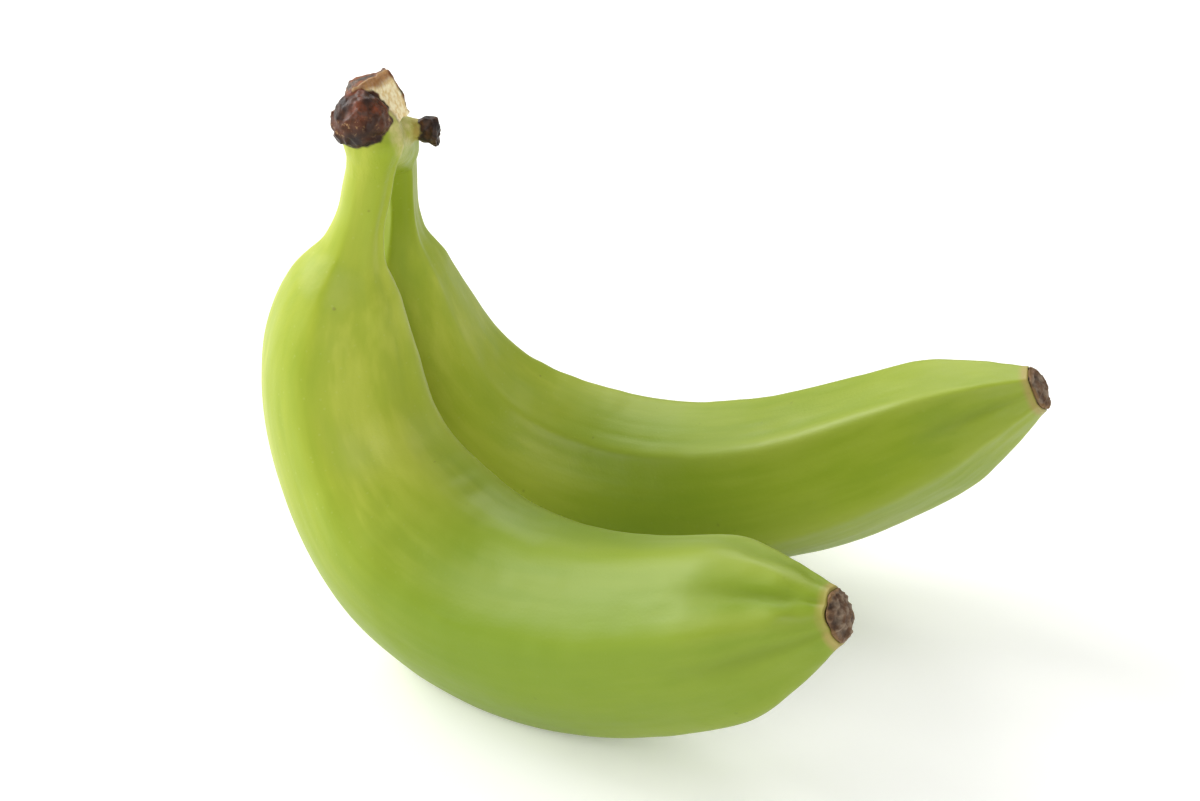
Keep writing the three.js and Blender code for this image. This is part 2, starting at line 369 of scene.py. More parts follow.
def add_node(
    tree: bpy.types.NodeTree,
    kind: str,
    sockets: dict[str | int, Any] | None = None,
    output: str | int = 0,
    **settings: Any,
) -> Any:
    """Adds one node, with its settings and its links.

    Args:
        tree: the material's or the world's node tree.
        kind: the node's type name after ShaderNode.
        sockets: values for its inputs, by name or number, or the output sockets to link to them.
        output: which of its outputs is wanted, by name or number.
        settings: the node's own properties.

    Returns:
        That output socket, or None for a node without outputs.
    """
    node = tree.nodes.new(f"ShaderNode{kind}")
    for key, value in settings.items():
        setattr(node, key, value)
    for key, value in (sockets or {}).items():
        if isinstance(value, bpy.types.NodeSocket):
            tree.links.new(value, node.inputs[key])
        else:
            node.inputs[key].default_value = value
    return node.outputs[output] if len(node.outputs) else None


def new_material(name: str) -> bpy.types.Material:
    """An empty node material.

    Args:
        name: the real material's name.

    Returns:
        The new material.
    """
    material = bpy.data.materials.new(name)
    material.use_nodes = True
    material.node_tree.nodes.clear()
    return material


def lay_over(tree: bpy.types.NodeTree, colour: Any, mark: str, amount: float, tint: Any) -> Any:
    """Lays a tint over a colour where the mesh carries a mark.

    Args:
        tree: the material's node tree.
        colour: the socket that holds the colour below.
        mark: the mesh's attribute, from 0 to 1.
        amount: how much of the tint shows where the mark is 1.
        tint: linear values or a socket.

    Returns:
        The socket that holds the new colour.
    """
    value = add_node(tree, "Attribute", None, "Fac", attribute_name=mark)
    weight = add_node(tree, "Math", {0: value, 1: amount}, operation="MULTIPLY")
    return add_node(tree, "Mix", {0: weight, 6: colour, 7: tint}, 2, data_type="RGBA")


def give_surface(
    material: bpy.types.Material, height: Any, relief: tuple[float, float], sockets: dict[str | int, Any]
) -> bpy.types.Material:
    """Gives a material its bump, its shader and its output.

    Args:
        material: a node material with its patterns in place.
        height: the socket that holds the relief's height.
        relief: the bump's strength, and its depth in mm.
        sockets: the shader's other values and links.

    Returns:
        The same material.
    """
    tree = material.node_tree
    bump = add_node(tree, "Bump", {"Strength": relief[0], "Distance": relief[1] * MM, "Height": height})
    shader = add_node(tree, "BsdfPrincipled", {**sockets, "IOR": PLANT_IOR, "Normal": bump})
    add_node(tree, "OutputMaterial", {"Surface": shader})
    return material


@dataclass(frozen=True)
class GreenPeel:
    """Unripe banana peel: a living skin under a thin natural wax, so it has a broad satin sheen.

    Its green is uneven in soft streaks along the finger, with a few fine brown rub marks and pale pores. Over
    it lie a painted highlight along the ridges, painted shade in the creases near the tip, and painted shade
    that deepens the green of the tip half.
    """

    deep: str = "#94a729"
    fresh: str = "#a8b436"
    sunny: str = "#bfc64e"
    # painted shade: the deeper green that darkens each finger's tip half
    tip_shade: str = "#6f8a16"
    # painted highlight: the paler green laid along the ridges
    ridge_highlight: str = "#b4be55"
    # painted shade: the deeper green laid in the creases near the tip
    crease_shade: str = "#728719"
    tan: str = "#a3924f"
    rub: str = "#5d4a24"
    pore: str = "#b9c268"
    roughness: float = 0.45
    wax: float = 0.36  # of a smooth skin's reflection, which the fine bloom on the wax weakens
    relief: tuple[float, float] = (0.25, 0.12)
    mottle: float = 24.0  # mm
    mottle_stretch: float = 0.35  # of a mottle's width to its length
    streak: float = 2.6  # mm across a streak
    streak_stretch: float = 0.1
    grain: float = 0.7  # mm, coarser than the real cells, which would not show
    rub_spacing: float = 8.0  # mm
    pore_spacing: float = 2.3  # mm

    def colour(self, tree: bpy.types.NodeTree, grown: bpy.types.NodeSocket) -> tuple[Any, Any]:
        """The peel's colour and relief.

        Args:
            tree: the material's node tree.
            grown: places on the skin before the finger bent, in metres, with z along the finger.

        Returns:
            The sockets that hold the colour and the height.
        """
        soft, long = (
            add_node(tree, "Mapping", {"Vector": grown, "Scale": (1, 1, stretch)})
            for stretch in (self.mottle_stretch, self.streak_stretch)
        )
        patterns = ((soft, self.mottle, 3), (long, self.streak, 4), (grown, self.grain, 2))
        mottle, streak, grain = (
            add_node(tree, "TexNoise", {"Vector": place, "Scale": per_metre(size), "Detail": detail}, "Fac")
            for place, size, detail in patterns
        )
        both = add_node(tree, "Math", {0: streak, 1: 0.4, 2: mottle}, operation="MULTIPLY_ADD")
        colour: Any = linear(self.deep)
        for low, high, tint in ((0.45, 0.75, self.fresh), (0.68, 0.98, self.sunny)):
            share = add_node(tree, "MapRange", {"Value": both, "From Min": low, "From Max": high})
            colour = add_node(tree, "Mix", {0: share, 6: colour, 7: linear(tint)}, 2, data_type="RGBA")
        spots = (
            (self.pore_spacing, 0.06, 0.16, 0.22, self.pore),
            (self.rub_spacing, 0.03, 0.06, 0.35, self.rub),
        )
        for spacing, core, edge, amount, tint in spots:
            cells = {"Vector": grown, "Scale": per_metre(spacing), "Randomness": 1.0}
            off = add_node(tree, "TexVoronoi", cells, "Distance")
            fade = {"Value": off, "From Min": edge, "From Max": core, "To Max": amount}
            near = add_node(tree, "MapRange", fade)
            colour = add_node(tree, "Mix", {0: near, 6: colour, 7: linear(tint)}, 2, data_type="RGBA")
        return colour, add_node(tree, "Math", {0: streak, 1: 1.6, 2: grain}, operation="MULTIPLY_ADD")

    def material(self) -> bpy.types.Material:
        """The finish of a whole finger, which reads the marks that its mesh carries."""
        material = new_material("Waxed unripe banana peel")
        tree = material.node_tree
        grown = add_node(tree, "Attribute", None, "Vector", attribute_name="grown")
        colour, height = self.colour(tree, grown)
        # painted light over the peel: shade on the tip half, a highlight on the ridges, shade in the creases;
        # the tan tip is the peel's own
        marks = (
            ("tip_shade", 1.0, self.tip_shade),
            ("ridge_highlight", 0.4, self.ridge_highlight),
            ("crease_shade", 0.8, self.crease_shade),
            ("tan", 0.9, self.tan),
        )
        for mark, amount, tint in marks:
            colour = lay_over(tree, colour, mark, amount, linear(tint))
        shine = {"Base Color": colour, "Roughness": self.roughness, "Specular IOR Level": self.wax}
        return give_surface(material, height, self.relief, shine)


@dataclass(frozen=True)
class CrownBark:
    """The crown's finishes, from living peel to healed and dried tissue.

    The callus is dried latex and scar, dark and half glossy. The knife's face is pale dry pith with fibres
    along the crown. The stalk is weathered olive, and its stub is black and dull.
    """

    peel: GreenPeel = field(default_factory=GreenPeel)
    pale: str = "#b3b455"
    cream: str = "#d5c987"
    olive: str = "#9a8436"
    bark: str = "#493d32"
    rust: str = "#844a20"
    pith: str = "#fbeec6"
    pith_dark: str = "#e6cb90"
    pith_vein: str = "#a9713a"
    callus: str = "#261713"
    callus_warm: str = "#4b2b17"
    callus_red: str = "#7a3a1c"
    # partly the callus's own pale specks, partly painted glossy highlights
    callus_speck_and_glint: str = "#c2a26e"
    stub: str = "#1f120a"
    stub_warm: str = "#55351a"
    relief: tuple[float, float] = (0.5, 0.25)
    roughness: float = 0.46
    dry_roughness: float = 0.38  # more, where the pith is bare
    blotch: float = 2.2  # mm
    fibre: float = 0.5  # mm across, coarser than the real fibres, which would not show
    fleck: float = 1.1  # mm

    def material(self) -> bpy.types.Material:
        """The finish of the whole crown, which reads where each kind of tissue is from its mesh's marks."""
        material = new_material("Banana crown callus and cut pith")
        tree = material.node_tree
        place = add_node(tree, "TexCoord", None, "Object")
        grown = add_node(tree, "Attribute", None, "Vector", attribute_name="grown")
        colour, peel_height = self.peel.colour(tree, grown)
        blotch, fleck = (
            add_node(
                tree,
                "TexNoise",
                {"Vector": place, "Scale": per_metre(size), "Detail": detail, "Roughness": 0.7},
                "Fac",
            )
            for size, detail in ((self.blotch, 5), (self.fleck, 4))
        )
        lean = {"Vector": place, "Rotation": (0.5, 0.35, 0), "Scale": (1, 1, 0.15)}
        threads = {"Vector": add_node(tree, "Mapping", lean), "Scale": per_metre(self.fibre), "Detail": 3}
        fibre = add_node(tree, "TexNoise", threads, "Fac")
        kinds = (
            # painted highlight along the necks' ridges, carried onto the crown's peel
            ("ridge_highlight", fibre, 0.0, 1.0, self.peel.ridge_highlight, self.peel.ridge_highlight, 0.4),
            ("pale", blotch, 0.35, 0.6, self.pale, self.cream, 0.85),
            ("stalk", blotch, 0.42, 0.7, self.olive, self.pale, 0.9),
            ("bark", blotch, 0.42, 0.6, self.bark, self.rust, 1.0),
            ("pith", fibre, 0.38, 0.6, self.pith_dark, self.pith, 1.0),
            ("vein", blotch, 0.42, 0.6, self.pith_vein, self.rust, 0.85),
            ("rim", blotch, 0.4, 0.6, self.stub, self.callus_red, 0.9),
            ("callus", blotch, 0.45, 0.7, self.callus, self.callus_warm, 1.0),
            ("flush", blotch, 0.4, 0.62, self.callus_warm, self.callus_red, 0.85),
            # pale flecks in the callus's middle: partly its own specks, partly painted glossy highlights
            ("fleck", fleck, 0.56, 0.68, self.callus_warm, self.callus_speck_and_glint, 0.6),
            ("stub", blotch, 0.45, 0.7, self.stub, self.stub_warm, 1.0),
        )
        for mark, pattern, low, high, start, end, amount in kinds:
            share = add_node(tree, "MapRange", {"Value": pattern, "From Min": low, "From Max": high})
            tint = add_node(
                tree, "Mix", {0: share, 6: linear(start), 7: linear(end)}, 2, data_type="RGBA"
            )
            colour = lay_over(tree, colour, mark, amount, tint)
        rough: Any = self.roughness
        for mark, more in (("pith", self.dry_roughness), ("callus", -0.02)):
            value = add_node(tree, "Attribute", None, "Fac", attribute_name=mark)
            rough = add_node(tree, "Math", {0: value, 1: more, 2: rough}, operation="MULTIPLY_ADD")
        rugged = add_node(tree, "Math", {0: fleck, 1: 1.5, 2: fibre}, operation="MULTIPLY_ADD")
        height = add_node(tree, "Mix", {0: 0.3, 2: rugged, 3: peel_height})
        shine = {"Base Color": colour, "Roughness": rough, "Specular IOR Level": self.peel.wax}
        return give_surface(material, height, self.relief, shine)


@dataclass(frozen=True)
class FlowerScab:
    """The dried base of the flower: corky brown tissue in folded layers, with grey blotches and painted shade
    in the folds.
    """

    # painted shade: the near-black brown laid in the scab's folds
    dark: str = "#2f2017"
    cork: str = "#664a33"
    grey: str = "#8f7c67"
    rim: str = "#7d5f3c"
    roughness: float = 0.78
    relief: tuple[float, float] = (0.6, 0.2)
    layer: float = 0.6  # mm
    blotch: float = 1.8  # mm

    def material(self) -> bpy.types.Material:
        """The scab's finish: painted shade that darkens the folds, grey and brown blotches on their crests, tan
        at the rim.
        """
        material = new_material("Dried corky flower scab")
        tree = material.node_tree
        place = add_node(tree, "TexCoord", None, "Object")
        blotch, layer = (
            add_node(tree, "TexNoise", {"Vector": place, "Scale": per_metre(size), "Detail": 4}, "Fac")
            for size in (self.blotch, self.layer)
        )
        raised = add_node(tree, "Attribute", None, "Fac", attribute_name="raised")
        # painted shade: low folds, and low spots of the layer noise, go towards the dark brown
        lit = add_node(tree, "Math", {0: layer, 1: 0.7, 2: raised}, operation="MULTIPLY_ADD")
        colour: Any = linear(self.grey)
        for start, value, low, high in ((self.cork, blotch, 0.42, 0.6), (self.dark, lit, 0.4, 1.05)):
            share = add_node(tree, "MapRange", {"Value": value, "From Min": low, "From Max": high})
            colour = add_node(tree, "Mix", {0: share, 6: linear(start), 7: colour}, 2, data_type="RGBA")
        colour = lay_over(tree, colour, "edge", 1.0, linear(self.rim))
        return give_surface(material, layer, self.relief, {"Base Color": colour, "Roughness": self.roughness})


# --------------------------------------------------------------------------------------------------- fingers


# A finger's mean radius as a share of its belly's, by the share of its length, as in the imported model.
FINGER_SHAPE: Stations = (
    (0.11, 0.3), (0.16, 0.54), (0.24, 0.762), (0.34, 0.866), (0.48, 1.0),
    (0.62, 0.97), (0.76, 0.89), (0.88, 0.765), (0.96, 0.464),
)  # fmt: skip


class BunchPiece:
    """What every piece of the bunch has: its object's name, the node that it stands for, and its slot."""

    name: str
    node: str
    slot: Slot

    def dress(self, piece: bpy.types.Object, finish: bpy.types.Material) -> None:
        """Gives the piece its finish and its place in the frame.

        Args:
            piece: the object that build made.
            finish: its material.
        """
        piece.data.materials.append(finish)
        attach(piece, "root")
        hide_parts(self.node)


@dataclass(frozen=True)
class Growth:
    """The curve that a finger grew in and its three radii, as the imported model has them, in mm and degrees.

    start_heading is the neck's direction from straight down, and turn_rates are how fast it turns at its
    neck, one third, two thirds and tip, in degrees per whole length. fan is the direction that the bend
    faces, about Z, and lean tilts the bend's plane about X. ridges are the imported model's plain ones.
    """

    length: float
    belly_radius: float
    neck_radius: float
    tip_radius: float
    start_heading: float
    turn_rates: tuple[float, float, float, float]
    fan: float
    lean: float
    ridges: tuple[float, ...]


@dataclass(frozen=True)
class Ridge:
    """One long ridge of the skin, or a groove where its heights are below 0.

    angle and spread are in degrees round the finger, from the belly towards +Y, and heights are pairs of the
    share of the length and the height there in mm. drift is how far it has moved round by the tip.
    """

    angle: float
    spread: float
    heights: Stations
    drift: float = 0.0


@dataclass
class Finger(BunchPiece):
    """One banana: a faceted outline turned about a line, ridged, creased at its tip, and bent as it grew.

    corners are where the section's blunt corners are, in degrees from the belly towards +Y, and flatness is
    how much of a polygon's shape the section has at each share of the length.
    """

    name: str
    node: str
    growth: Growth
    corners: tuple[float, ...]
    flatness: Stations
    relief: tuple[Ridge, ...]
    seed: int
    slot: Slot = Slot.PEEL
    bluntness: float = 13.0  # the power that rounds the corners: more is sharper
    rings: int = 400
    sides: int = 176
    steps: int = 400  # of the spine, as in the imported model
    plain_rings: int = 48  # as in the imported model
    plain_sides: int = 30
    plain_height: float = 1.0  # mm
    plain_spread: float = 19.0  # degrees
    slant: tuple[float, float] = (-110.0, 0.18)  # where the tip's rim is longest, in degrees, and its slope
    tip_shade_amount: float = 0.8  # how strongly painted shade darkens its tip half to a deeper green
    draw: float = 1.1  # mm, that the skin draws in just before the tip
    waist: float = 0.6  # mm, that it draws in below the neck
    waist_place: tuple[float, float] = (0.1, 0.04)  # its middle and half width, as shares of the length
    lip: float = 0.9  # mm, of the rounded rim at the tip
    dish: float = 0.9  # mm, how deep the scab sits
    press: float = 0.35  # mm, of the rounding at the edge of the flat that it rests on
    press_below: float = 4.0  # mm, the height from which it acts
    sink: float = 0.02  # mm, that it lowers the skin by, so that the flat is level
    swell: float = 0.22  # mm, of slow unevenness
    wale: float = 0.05  # mm, of fine long streaks
    pinch: float = 0.22  # mm, of short puckers near the tip
    lip_rings: int = 10
    dish_rings: int = 7
    neck_rings: int = 5
    apart: float = 0.3  # metres between two seeds' patterns

    def __post_init__(self) -> None:
        """Works out the spine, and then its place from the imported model's box."""
        g = self.growth
        share = np.arange(self.steps + 1) / self.steps
        rates = tuple(zip((0, 0.33, 0.66, 1), g.turn_rates))
        turned = np.cumsum(curve_through(rates, share)[:-1]) / self.steps
        self.heading = np.radians(g.start_heading + np.concatenate([[0], turned]))
        self.stations = share * g.length
        along = np.stack([np.sin(self.heading), 0 * share, -np.cos(self.heading)], axis=-1)
        self.path = np.concatenate([np.zeros((1, 3)), np.cumsum(along[:-1], axis=0) * g.length / self.steps])
        self.turn = (turn_about(2, g.fan) @ turn_about(0, g.lean)).T
        self.neck = np.zeros(3)
        high = np.array(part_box(self.node)[1]) / MM
        self.neck = high - self.plain_skin().max(axis=0)

    def outline(self, share: Array) -> Array:
        """The skin's mean radius in mm at each share of the length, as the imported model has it.

        Args:
            share: shares of the length, from 0 at the neck to 1 at the tip.

        Returns:
            The radius at each.
        """
        g = self.growth
        belly = tuple((at, radius * g.belly_radius) for at, radius in FINGER_SHAPE)
        return curve_through(((0, g.neck_radius), (0.06, g.neck_radius), *belly, (1, g.tip_radius)), share)

    def spine(self, distance: Array) -> tuple[Array, Array, Array, Array]:
        """The spine at distances in mm along it.

        The heading and the path are read between their steps, and go on straight past either end.

        Args:
            distance: how far along the spine.

        Returns:
            The points, and the ways along, to the belly and to the side.
        """
        inside = np.clip(distance, 0, self.growth.length)
        heading = np.interp(inside, self.stations, self.heading)
        path = np.stack([np.interp(inside, self.stations, self.path[:, k]) for k in range(3)], axis=-1)
        level = np.zeros_like(heading)
        along = np.stack([np.sin(heading), level, -np.cos(heading)], axis=-1) @ self.turn
        belly = np.stack([-np.cos(heading), level, -np.sin(heading)], axis=-1) @ self.turn
        side = np.broadcast_to(np.array([0.0, 1.0, 0.0]) @ self.turn, along.shape)
        point = self.neck + path @ self.turn + along * (distance - inside)[..., None]
        return point, along, belly, side

    def bent(self, distance: Array, radius: Array, angle: Array) -> Array:
        """The points in mm that are at a distance along the spine, and off it by a radius at an angle.

        Args:
            distance: how far along, in mm.
            radius: how far off, in mm.
            angle: from the belly towards the side, in radians.

        Returns:
            The points.
        """
        point, _, belly, side = self.spine(distance)
        out, across = radius * np.cos(angle), radius * np.sin(angle)
        return point + out[..., None] * belly + across[..., None] * side

    def unbent(self, points: Array) -> tuple[Array, Array, Array]:
        """The distance, radius and angle of points near the neck, by stepping towards each one's foot.

        Args:
            points: places in mm.

        Returns:
            What bent turns into those points.
        """
        _, along, _, _ = self.spine(np.zeros(()))
        distance = (points - self.neck) @ along
        for _ in range(4):
            point, along, belly, side = self.spine(distance)
            distance = distance + np.sum((points - point) * along, axis=-1)
        off = points - point
        right, up = np.sum(off * belly, axis=-1), np.sum(off * side, axis=-1)
        return distance, np.hypot(right, up), np.arctan2(up, right)

    def plain_skin(self) -> Array:
        """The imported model's own skin in mm, which is coarse, and only serves to find where it stands."""
        share, angle = np.meshgrid(
            np.arange(self.plain_rings + 1) / self.plain_rings,
            even_angles(self.plain_sides) - np.pi / 2,
            indexing="ij",
        )
        spread = math.radians(self.plain_spread)
        ridges = np.radians(np.array(self.growth.ridges))
        away = (angle[..., None] - ridges + np.pi) % (2 * np.pi) - np.pi
        rise = np.exp(-((away / spread) ** 2)).sum(axis=-1) - len(ridges) * spread / (2 * math.sqrt(math.pi))
        fade = curve_through(((0, 0.25), (0.16, 1), (0.9, 1), (1, 0.4)), share)
        radius = self.outline(share) + self.plain_height * fade * rise
        return self.bent(share * self.growth.length, radius, angle).reshape(-1, 3)

    def rise(self, share: Array, angle: Array, sign: int) -> Array:
        """How far the ridges or the creases move the skin out, in mm.

        Each is a bell curve round the finger whose height changes along it, and stays the same past its end
        stations. Its mean is taken off, so that the finger gets no thicker.

        Args:
            share: shares of the length.
            angle: angles round the finger, in radians.
            sign: 1 for the ridges and -1 for the creases.

        Returns:
            The sum of them at each place.
        """
        total = np.zeros(np.broadcast(share, angle).shape)
        for ridge in self.relief:
            (first, _), *_, (last, _) = ridge.heights
            height = curve_through(ridge.heights, np.clip(share, first, last))
            spread = math.radians(ridge.spread)
            middle = np.radians(ridge.angle + ridge.drift * share)
            away = (angle - middle + np.pi) % (2 * np.pi) - np.pi
            bell = np.exp(-((away / spread) ** 2)) - spread / (2 * math.sqrt(math.pi))
            total = total + np.where(sign * height > 0, height * bell, 0)
        return total

    def section(self, angle: Array) -> Array:
        """A rounded polygon's radius, 1 on average.

        A face lies square between two corners. The radius is one over the high power mean of the cosines to
        the faces, each over the cosine of half its face.

        Args:
            angle: angles round the finger, in radians.

        Returns:
            The radius at each.
        """
        corners = np.radians(np.array(sorted(self.corners)))
        half = (np.roll(corners, -1) - corners) % (2 * np.pi) / 2
        angle = np.asarray(angle, float)

        def radius(at: Array) -> Array:
            """The radius before it is brought to 1 on average."""
            square = np.maximum(np.cos(at[..., None] - corners - half), 0) / np.cos(half)
            return np.sum(square**self.bluntness, axis=-1) ** (-1 / self.bluntness)

        return radius(angle) / radius(np.linspace(0, 2 * np.pi, 720, endpoint=False)).mean()

    def skin_radius(self, share: Array, angle: Array) -> Array:
        """The skin's radius in mm: the outline, part round and part faceted, with its ridges and creases.

        Args:
            share: shares of the length.
            angle: angles round the finger, in radians.

        Returns:
            The radius at each place.
        """
        flat = curve_through(self.flatness, share)
        middle, half = self.waist_place
        drawn = self.draw * ramp(share, 0.955, 1.0) + self.waist * np.exp(-(((share - middle) / half) ** 2))
        round_part = (self.outline(share) - drawn) * (1 + flat * (self.section(angle) - 1))
        return round_part + self.rise(share, angle, 1) + self.rise(share, angle, -1)

    def slanted(self, distance: Array, radius: Array, angle: Array) -> Array:
        """The distances in mm with the tip's slant added, which grows over the last part of the finger.

        Args:
            distance: distances along the spine.
            radius: how far off it.
            angle: angles round it, in radians.

        Returns:
            The slanted distances.
        """
        where, slope = self.slant
        near_tip = ramp(distance / self.growth.length, 0.88, 1.0)
        return distance + slope * near_tip * radius * np.cos(angle - math.radians(where))

    def ridge_highlight_mask(self, share: Array, angle: Array) -> Array:
        """How far up a ridge the skin is, from 0 to 1, which places the painted highlight along the ridges."""
        return np.clip(self.rise(share, angle, 1) / 0.8, 0, 1)

    def grown(self, distance: Array, radius: Array, angle: Array) -> Array:
        """Places on the finger before it bent, in metres, each finger's apart from the other's."""
        return MM * around(radius, angle, distance) + self.apart * self.seed

    def build(self) -> bpy.types.Object:
        """The finger's mesh, with the marks that its finish reads.

        The rings run evenly from the neck to the tip. Then they turn over a round lip and go in to a shallow
        dish where the scab sits. Slow and fine noise on the straight finger make it uneven. At the bottom the
        height is the mean of itself and its size, rounded off, which presses the belly flat.

        Returns:
            The finger's object.
        """
        g = self.growth
        angles = even_angles(self.sides)
        share, angle = np.meshgrid(np.linspace(0, 1, self.rings), angles, indexing="ij")
        radius = self.skin_radius(share, angle)
        distance = share * g.length
        straight = around(radius, angle, distance)
        calm = ramp(share, 0.0, 0.08) * ramp(share, 1.0, 0.985)
        slow = noise(straight * (1, 1, 0.4), 9.0, self.seed) + 0.5 * noise(straight, 5.0, self.seed + 1)
        fine = noise(straight * (1, 1, 0.08), 1.5, self.seed + 2)
        puckers = ramp(share, 0.9, 0.985) * noise(straight * (1, 1, 0.3), 2.2, self.seed + 3)
        radius = radius + calm * (self.swell * slow + self.wale * fine) + self.pinch * puckers
        lip_turn = np.linspace(0, np.pi, self.lip_rings + 1)[1:, None] + 0 * angles
        rim = radius[-1] - self.lip * (1 - np.cos(lip_turn)) / 2
        over = g.length + 0.45 * self.lip * np.sin(lip_turn)
        inward = np.linspace(0, 1, self.dish_rings + 1)[1:, None] + 0 * angles
        dish = rim[-1] * (1 - inward * 0.97)
        depth = g.length - self.dish * ramp(inward, 0, 0.5)
        neck_in = np.linspace(0.05, 1, self.neck_rings + 1)[:-1, None] + 0 * angles
        all_radius = np.concatenate([radius[0] * neck_in, radius, rim, dish])
        all_distance = np.concatenate([0 * neck_in, distance, over, depth])
        all_angle = np.broadcast_to(angles, all_radius.shape)
        skin = self.bent(self.slanted(all_distance, all_radius, all_angle), all_radius, all_angle)
        poles = np.array([0.0, g.length - self.dish]), np.zeros(2), np.zeros(2)
        points = capped(skin, self.bent(*poles))
        height = points[:, 2]
        pressed = (height + np.sqrt(height**2 + self.press**2)) / 2 - self.sink
        points[:, 2] = np.maximum(np.where(height < self.press_below, pressed, height), 0)
        grown = self.grown(all_distance, all_radius, all_angle)
        whole = np.clip(all_distance / g.length, 0, 1)
        tip_end = ramp(all_distance, g.length - 1.7, g.length - 0.2)
        ragged = noise(grown / MM, 1.6, self.seed + 4)
        # marks for painted light: a highlight along the ridges, shade in the creases and shade over the tip
        # half; the tan tip is real
        marks = {
            "ridge_highlight": self.ridge_highlight_mask(whole, all_angle),
            "crease_shade": np.clip(-self.rise(whole, all_angle, -1) / 0.9, 0, 1),
            "tip_shade": self.tip_shade_amount * ramp(whole, 0.3, 0.6),
            "tan": np.clip(tip_end * (1 + 0.5 * ragged), 0, 1),
        }
        at_poles = {"tip_shade": self.tip_shade_amount, "ridge_highlight": 0.0, "crease_shade": 0.0, "tan": 1.0}
        layers = {mark: capped(marks[mark], np.full(2, value)) for mark, value in at_poles.items()}
        layers["grown"] = capped(grown, self.grown(*poles))
        return make_piece(self.name, MM * points, closed_grid_faces(len(all_radius), self.sides), layers)


FRONT = Finger(
    name="front_finger_skin",
    node="banana_front",
    growth=Growth(
        length=196.5,
        belly_radius=20.5,
        neck_radius=4.5,
        tip_radius=6.2,
        start_heading=-10.5,
        turn_rates=(-140, 289, 131, -47),
        fan=-38.9,
        lean=-1.1,
        ridges=(-165, -108, -22, 66, 157),
    ),
    corners=(-165, -104, -22, 66, 157),
    flatness=((0, 0.05), (0.08, 0.3), (0.3, 0.3), (0.55, 0.2), (0.8, 0.35), (0.93, 0.6), (1, 0.25)),
    relief=(
        Ridge(-165, 16, ((0, 0.1), (0.1, 0.4), (0.3, 0.3), (0.6, 0.1), (0.85, 0.4), (0.95, 0.7), (1, 0.2))),
        Ridge(-108, 14, ((0.6, 0.0), (0.85, 0.3), (0.94, 0.7), (1, 0.2)), drift=-4),
        Ridge(-22, 15, ((0, 0.1), (0.16, 0.4), (0.6, 0.2), (0.9, 0.5), (1, 0.2))),
        Ridge(66, 15, ((0, 0.1), (0.16, 0.4), (0.6, 0.2), (0.9, 0.5), (1, 0.2))),
        Ridge(157, 10, ((0, 0.35), (0.05, 0.6), (0.2, 0.9), (0.4, 0.6), (0.7, 0.3), (0.92, 0.7), (1, 0.3))),
        Ridge(-138, 8, ((0.86, 0), (0.95, -0.8), (1, -0.3))),
        Ridge(-78, 9, ((0.84, 0), (0.94, -0.8), (1, -0.3))),
        Ridge(110, 9, ((0.86, 0), (0.95, -0.7), (1, -0.3))),
    ),
    seed=3,
)
BACK = Finger(
    name="back_finger_skin",
    node="banana_back",
    growth=Growth(
        length=208.5,
        belly_radius=17.8,
        neck_radius=3.9,
        tip_radius=5.4,
        start_heading=0.4,
        turn_rates=(-129, 270, 145, -72),
        fan=-14.1,
        lean=16.2,
        ridges=(-153, -88, -12, 70, 158),
    ),
    corners=(-153, -86, -12, 70, 146),
    flatness=((0, 0.05), (0.08, 0.35), (0.35, 0.45), (0.6, 0.6), (0.8, 0.65), (0.93, 0.65), (1, 0.3)),
    relief=(
        Ridge(-153, 9, ((0, 0.2), (0.12, 0.5), (0.4, 0.3), (0.75, 0.5), (0.93, 0.5), (1, 0.2))),
        Ridge(-86, 11, ((0, 0.05), (0.2, 0.2), (0.5, 0.1), (0.85, 0.4), (0.95, 0.5), (1, 0.2))),
        Ridge(-12, 13, ((0, 0.1), (0.16, 0.4), (0.6, 0.2), (0.9, 0.5), (1, 0.2))),
        Ridge(70, 13, ((0, 0.1), (0.16, 0.4), (0.6, 0.2), (0.9, 0.5), (1, 0.2))),
        Ridge(146, 12, ((0, 0.1), (0.1, 0.4), (0.4, 0.3), (0.8, 0.4), (0.93, 0.5), (1, 0.2))),
        Ridge(-120, 9, ((0.88, 0), (0.95, -0.6), (1, -0.2))),
        Ridge(114, 9, ((0.86, 0), (0.95, -0.6), (1, -0.2))),
    ),
    seed=5,
    bluntness=22.0,
    # less painted shade on its tip half than the front finger has
    tip_shade_amount=0.6,
    slant=(-120.0, 0.16),
    draw=0.6,
)


# ----------------------------------------------------------------------------------------------------- crown


